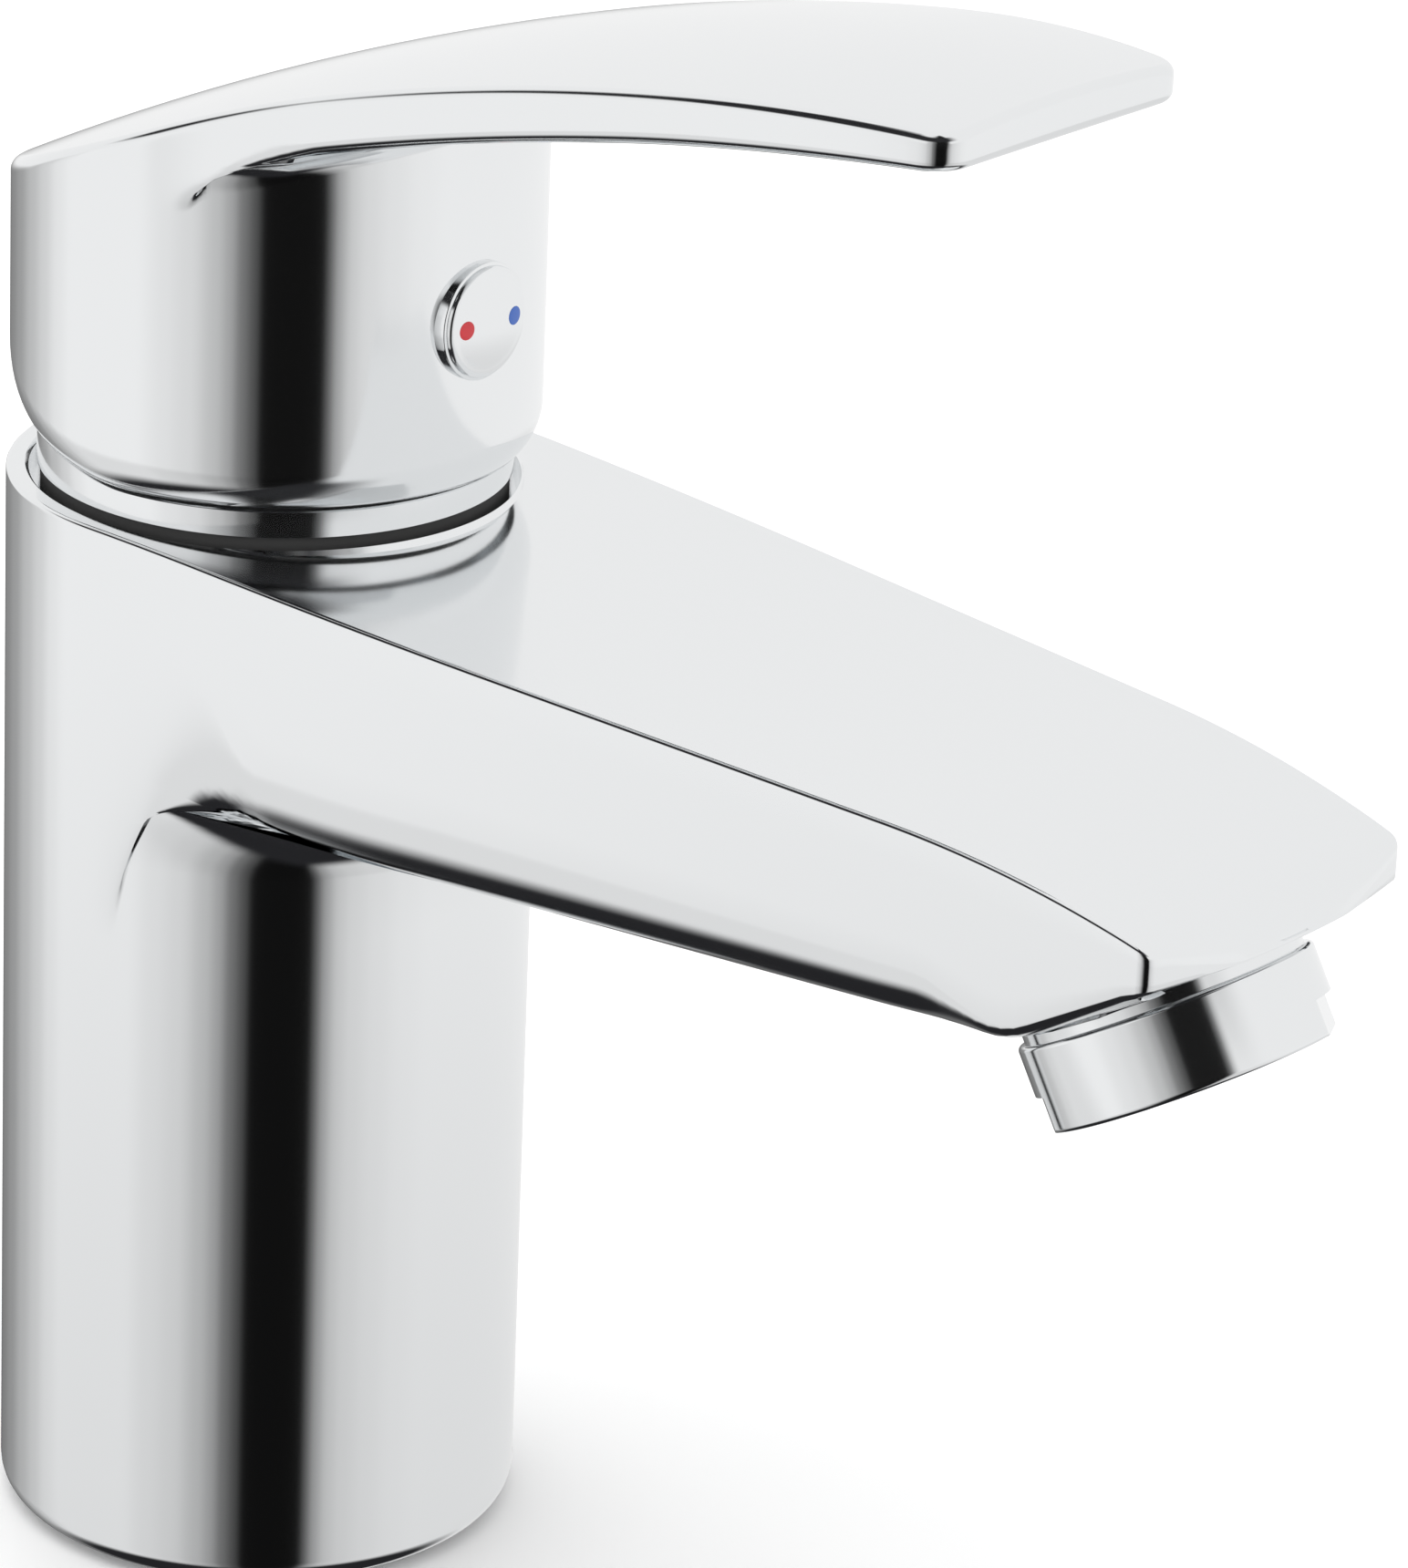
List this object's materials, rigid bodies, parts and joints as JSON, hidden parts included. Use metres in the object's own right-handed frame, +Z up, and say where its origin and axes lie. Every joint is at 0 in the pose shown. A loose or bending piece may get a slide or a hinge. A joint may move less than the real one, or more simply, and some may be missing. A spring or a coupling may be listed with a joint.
{
  "type": "bathroom mixer faucet",
  "caption": "Single-lever basin mixer: round column, straight tapering spout with a tilted aerator, and a broad arched lever growing out of a round cap.",
  "frame": {"origin": "centre of the base face on the column's axis", "axes": "+Z up along the column, -Y along the spout and the lever, X across; the object is symmetric about X = 0"},
  "size_m": [0.0486, 0.1396, 0.1542],
  "materials": {
    "chrome_body": "polished",
    "chrome_handle": "polished",
    "chrome_trim": "polished",
    "rubber": "matte",
    "white_plastic": "moulded",
    "blue_plastic": "moulded",
    "black_plastic": "moulded",
    "red_plastic": "moulded",
    "ceramic": "lapped",
    "brass": "machined",
    "steel": "machined",
    "red_mark": "gloss",
    "blue_mark": "gloss"
  },
  "bodies": {
    "mixer": {"body": "chrome_body", "base_seal": "rubber", "cartridge_base": "white_plastic", "inlet_seals": "rubber", "fixed_disc": "ceramic", "cartridge_housing": "white_plastic", "housing_seal": "rubber", "retaining_nut": "brass", "trim_dome": "chrome_trim", "aerator_housing": "chrome_trim", "aerator_washer": "rubber", "aerator_screen": "steel", "aerator_insert": "white_plastic"},
    "rotor": {"rotor": "steel", "pivot_pin": "steel", "limit_ring": "red_plastic"},
    "lever": {"stem": "brass", "handle": "chrome_handle", "handle_bush": "black_plastic", "handle_screw": "steel", "index_button": "chrome_trim", "red_dot": "red_mark", "blue_dot": "blue_mark"},
    "carrier": {"moving_disc": "ceramic", "carrier_seal": "rubber", "disc_carrier": "blue_plastic"}
  },
  "joints": [
    {"name": "temperature_swivel", "type": "hinge", "parent": "mixer", "child": "rotor", "pos_m": [0, 0, 0.102], "axis": [0, 0, 1], "range_deg": [-45, 45]},
    {"name": "flow_lift", "type": "hinge", "parent": "rotor", "child": "lever", "pos_m": [0, 0, 0.102], "axis": [-1, 0, 0], "range_deg": [0, 15]},
    {"name": "disc_slide", "type": "slide", "parent": "rotor", "child": "carrier", "axis": [0, -1, 0], "range_m": [0, 0.00493]}
  ],
  "couplings": [
    {"joint": "disc_slide", "follows": "flow_lift", "m_per_rad": 0.01878}
  ]
}
